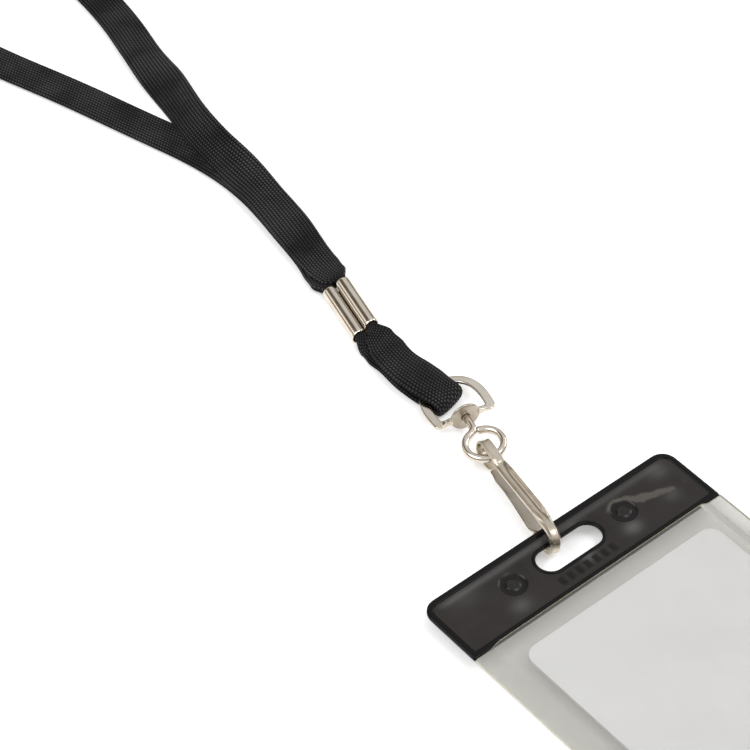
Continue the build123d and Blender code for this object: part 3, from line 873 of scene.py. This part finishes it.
def plate(name, outer, holes, loops, spacing, top, bottom, material, rim=None):
    """A closed sheet in the holder's plane between the heights top(x, y) and bottom(x, y), with
    the material rim on its cut edges. Also gives the x and y of its points."""
    xy, triangles = triangulate(outer, holes, loops, spacing)
    used = np.unique(np.array(triangles))
    remap = -np.ones(len(xy), int)
    remap[used] = np.arange(len(used))
    xy = xy[used]
    triangles = [tuple(int(remap[i]) for i in t) for t in triangles]
    count = len(xy)
    points = np.concatenate([np.column_stack([xy, top(xy)]), np.column_stack([xy, bottom(xy)])])
    halves = dict.fromkeys(edge for t in triangles for edge in zip(t, t[1:] + t[:1]))
    walls = [(b, a, a + count, b + count) for a, b in halves if (b, a) not in halves]
    faces = triangles + [tuple(i + count for i in t[::-1]) for t in triangles] + walls
    obj = new_mesh(name, moved(points, holder_matrix()), faces, material)
    if rim:
        obj.data.materials.append(rim)
        marks = [0] * (2 * len(triangles)) + [1] * len(walls)
        obj.data.polygons.foreach_set("material_index", marks)
    obj.data.update()
    return obj, xy


def band_outline(inset=0.0):
    return rounded_box(0, BAND_H, HOLDER_W / 2, HOLDER_R, BAND_FOOT_R, inset)


def band_floor(xy):
    """Underside of all that lies on the band's back sheet."""
    return np.full(len(xy), SHEET_T + 0.01)


def spot_centres():
    return [(SPOTS[0], side * SPOTS[1] / 2) for side in (-1, 1)]


BAND_OUTER = band_outline()
BAND_INNER = band_outline(BORDER)
SLOT_EDGE = stadium(*SLOT)
COLLAR_EDGE = stadium(*SLOT, COLLAR)


def spot_relief(r):
    """Height over the panel and weld share of a spot weld, by distance from its centre: a wide
    black groove round a grey disc with a small dome."""
    lip = 0.05 * np.exp(-((r - 3.4) / 0.25) ** 2)
    groove = -0.21 * ramp(r, 1.3, 1.75) * (1 - ramp(r, 2.8, 3.1))
    moat = -0.12 * np.exp(-((r - 0.8) / 0.2) ** 2)
    dome = 0.1 * (1 - ramp(r, 0.1, 0.8))
    ring = 0.07 * np.exp(-((r - 1.2) / 0.22) ** 2)
    share = (1 - ramp(r, 2.85, 3.15)) * (0.3 + 0.7 * ramp(r, 1.35, 1.7))
    return lip + groove + moat + dome + ring, share


def bar_relief(xy):
    """Height and weld share of the plain row of raised bars."""
    height, share = np.zeros(len(xy)), np.zeros(len(xy))
    for index in range(BARS[2]):
        cy = (index - (BARS[2] - 1) / 2) * BARS[1]
        away = np.maximum(np.abs(xy[:, 0] - BARS[0]) - 0.85, np.abs(xy[:, 1] - cy) - 0.55)
        height += 0.1 * (1 - ramp(away, -0.15, 0.12))
        share += 1 - ramp(away, 0.0, 0.4)
    return height, share


def panel_height(xy):
    """The panel is pressed down beside every weld and swells between them."""
    from_weld = np.minimum(distance_to(BAND_INNER, xy), distance_to(COLLAR_EDGE, xy))
    low_part = ramp(xy[:, 0], 8.5, 11.5)
    swell = (0.42 - 0.35 * low_part) * ramp(from_weld, -0.2, 2.8)
    wave = 0.05 * np.sin(xy[:, 1] * 0.42 + 0.8) * np.sin(xy[:, 0] * 0.35 + xy[:, 1] * 0.08)
    z = BAND_Z - 0.07 + swell + wave * ramp(from_weld, 0.5, 3) * (1 - 0.7 * low_part)
    for cx, cy in spot_centres():
        r = np.hypot(xy[:, 0] - cx, xy[:, 1] - cy)
        away = ramp(r, 2.6, 7.5)
        z = z * away + (BAND_Z - 0.02) * (1 - away)
        z += spot_relief(r)[0]
    return z + bar_relief(xy)[0]


def air_gap(xy):
    """Share of the long air gap left beside one spot weld, where the film shows paler."""
    y = xy[:, 1]
    keys = [12.6, 15.5, 18.5, 21.0, 24.5, 28.6]
    middle = profile(y, keys, [5.3, 4.1, 5.5, 7.3, 8.5, 9.6])
    half = profile(y, keys, [0.1, 0.3, 0.9, 1.1, 0.75, 0.4])
    away = np.abs(xy[:, 0] - middle) - half
    return (1 - ramp(away, -0.1, 0.25)) * ramp(y, 12.2, 13.0) * (1 - ramp(y, 28.4, 28.9))


def painted_highlight(xy):
    """Share of the painted highlight, pale patches that stand for the film's soft reflections:
    beside the top weld, below the slot and round the spots."""
    x, y = xy[:, 0], xy[:, 1]
    along_weld = (0.62 - 0.24 * ramp(y, -9, 9)) * np.exp(-((x - 2.6) / 0.8) ** 2)
    share = along_weld * (1 - ramp(np.abs(y), 29, 33))
    for cx, cy, radius, most in PAINTED_HIGHLIGHTS:
        share += most * np.exp(-((x - cx) ** 2 + 0.6 * (y - cy) ** 2) / radius ** 2)
    return share


def band_face():
    """The smoked front of the band with its spot welds and raised bars."""
    loops = [circle(cx, cy, r) for cx, cy in spot_centres() for r in SPOT_RINGS]
    obj, xy = plate("band_face", BAND_INNER, [COLLAR_EDGE], loops, 0.42, panel_height, band_floor,
                    SMOKED_VINYL)
    weld = bar_relief(xy)[1]
    for cx, cy in spot_centres():
        weld += spot_relief(np.hypot(xy[:, 0] - cx, xy[:, 1] - cy))[1]
    # The third share is painted highlight, pale patches for the film's soft reflections.
    shares = {"weld": np.clip(weld, 0, 1), "air": air_gap(xy), "painted_highlight": painted_highlight(xy)}
    for label, values in shares.items():
        layer = obj.data.attributes.new(label, "FLOAT", "POINT")
        layer.data.foreach_set("value", np.concatenate([values, values]).astype(np.float32))
    keep_edges(obj, 60)
    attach(obj, "holder")
    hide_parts("band_panel", "spot_welds", "raised_pips")
    return obj


def bead_height(outline_out, outline_in, low, high):
    """The height of a rounded bead between two outlines, as a function of x and y."""
    def height(xy):
        out, inn = distance_to(outline_out, xy), distance_to(outline_in, xy)
        t = out / (out + inn + 1e-9)
        return low + (high - low) * np.sqrt(np.clip(1 - np.abs(2 * t - 1) ** 2.6, 0, 1))
    return height


def band_welds():
    """The black welded beads round the band and round the slot."""
    rings = [band_outline(BORDER * f) for f in (0.07, 0.2, 0.5, 0.8, 0.93)]
    border_top = bead_height(BAND_OUTER, BAND_INNER, 0.5, 0.74)
    border, _ = plate("band_bead", BAND_OUTER, [BAND_INNER], rings, 2.0, border_top, band_floor,
                      BLACK_VINYL)
    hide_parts("band_border")
    hoops = [stadium(*SLOT, COLLAR * f) for f in (0.08, 0.25, 0.5, 0.75, 0.92)]
    collar_top = bead_height(SLOT_EDGE, COLLAR_EDGE, 0.5, 0.73)
    collar, _ = plate("slot_bead", COLLAR_EDGE, [SLOT_EDGE], hoops, 2.0, collar_top, band_floor,
                      BLACK_VINYL)
    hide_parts("slot_collar")
    for obj in (border, collar):
        keep_edges(obj, 50)
        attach(obj, "holder")


def front_height(xy):
    """Upper face of the clear front: flat over the card, pressed down to the back at the seam."""
    sides = ramp(np.abs(xy[:, 1]), SEAM_IN, SEAM_OUT)
    foot = ramp(xy[:, 0], HOLDER_H - 3.6, HOLDER_H - 2.2)
    seam = np.maximum(sides, foot)
    wave = 0.07 * np.sin(xy[:, 0] * 0.11 + 0.5) * np.sin(xy[:, 1] * 0.16) + 0.07
    free = FRONT_TOP + wave * (1 - seam) * ramp(xy[:, 0], 17, 30)
    groove = np.minimum(np.abs(np.abs(xy[:, 1]) - SEAM_ROW), np.abs(xy[:, 0] - HOLDER_H + 1.4))
    pressed = SHEET_T + 0.31 - 0.06 * np.exp(-(groove / 0.35) ** 2)
    return free * (1 - seam) + pressed * seam


def front_under(xy):
    return front_height(xy) - FRONT_WALL


def pocket_sheet():
    """The clear front of the pocket, welded to the back along both sides and the foot."""
    outer, *rows = [rounded_box(BAND_H + 0.2, HOLDER_H, HOLDER_W / 2, 0.4, HOLDER_R, inset)
                    for inset in (0.0, 0.12, 0.4)]
    obj, _ = plate("pocket_sheet", outer, [], rows, 1.1, front_height, front_under, CLEAR_VINYL,
                   VINYL_EDGE)
    keep_edges(obj, 40)
    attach(obj, "holder")
    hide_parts("pocket_front", "pocket_seam")
    return obj


band_face()
band_welds()
pocket_sheet()


# ---- floor, light and camera ----------------------------------------------------------------
def stage():
    bpy.ops.mesh.primitive_plane_add(size=6.0, location=(0, 0, 0))
    floor = bpy.context.object
    floor.name = "floor"
    floor.data.materials.append(floor_material())


def aim_from(obj, place, target):
    """Puts a light or a camera at place, looking at target."""
    obj.location = place
    obj.rotation_euler = (Vector(target) - Vector(place)).to_track_quat("-Z", "Y").to_euler()


def light(name, place, size, power):
    """A rectangular lamp aimed at the metal pieces."""
    data = bpy.data.lights.new(name, "AREA")
    data.shape = "RECTANGLE"
    data.size, data.size_y = size
    data.energy = power
    aim_from(link(bpy.data.objects.new(name, data)), place, (-0.05, -0.02, 0.0))


def world():
    """A pale studio that darkens and warms low down. A dark patch and a bright one stand where the
    crimp and the hook mirror them, so that the bare metal has bands of light and shade."""
    studio = bpy.data.worlds.new("studio")
    bpy.context.scene.world = studio
    studio.use_nodes = True
    tree = studio.node_tree
    background = tree.nodes["Background"]
    where = tree.nodes.new("ShaderNodeTexCoord").outputs["Generated"]
    split = tree.nodes.new("ShaderNodeSeparateXYZ")
    grade = tree.nodes.new("ShaderNodeValToRGB")
    tree.links.new(where, split.inputs[0])
    tree.links.new(split.outputs["Z"], grade.inputs["Fac"])
    stops = grade.color_ramp.elements
    stops[0].position, stops[0].color = 0.0, (0.2, 0.16, 0.12, 1)
    stops[1].position, stops[1].color = 0.5, (0.97, 0.97, 0.98, 1)
    for position, colour in ((0.16, (0.04, 0.028, 0.02, 1)), (0.32, (0.5, 0.44, 0.37, 1))):
        stops.new(position).color = colour
    darkened = tree.nodes.new("ShaderNodeMix")
    darkened.data_type = "RGBA"
    tree.links.new(patch(tree, where, (-0.66, -0.3, 0.69)), darkened.inputs["Factor"])
    sky, dark = colour_sockets(darkened.inputs)
    tree.links.new(grade.outputs["Color"], sky)
    dark.default_value = (0.16, 0.13, 0.1, 1)
    tree.links.new(colour_sockets(darkened.outputs)[0], background.inputs["Color"])
    strength = tree.nodes.new("ShaderNodeMath")
    strength.operation = "MULTIPLY_ADD"
    tree.links.new(patch(tree, where, (-0.66, -0.73, 0.185)), strength.inputs[0])
    strength.inputs[1].default_value = 1.4    # what the bright patch adds
    strength.inputs[2].default_value = 0.82   # everywhere
    tree.links.new(strength.outputs[0], background.inputs["Strength"])


def patch(tree, where, heading, edge=0.93, core=0.98):
    """A round patch of the sky about heading: 0 outside the cosine edge, 1 inside core."""
    facing = tree.nodes.new("ShaderNodeVectorMath")
    facing.operation = "DOT_PRODUCT"
    tree.links.new(where, facing.inputs[0])
    facing.inputs[1].default_value = heading
    spread = tree.nodes.new("ShaderNodeMapRange")
    spread.interpolation_type = "SMOOTHSTEP"
    tree.links.new(facing.outputs["Value"], spread.inputs[0])
    spread.inputs[1].default_value = edge
    spread.inputs[2].default_value = core
    return spread.outputs[0]


def camera():
    data = bpy.data.cameras.new("camera")
    obj = link(bpy.data.objects.new("camera", data))
    data.sensor_width = 36.0
    data.lens = 128.43
    aim_from(obj, CAMERA_PLACE, CAMERA_AIM)
    bpy.context.scene.camera = obj


stage()
light("key", (-0.15, -0.75, 0.95), (0.7, 0.5), 5.0)
light("top", (0.25, 0.35, 1.0), (0.5, 0.5), 3.0)
light("rim", (-0.2, 0.8, 0.45), (0.5, 0.25), 1.6)
world()
camera()
bpy.context.scene.view_settings.view_transform = "Standard"
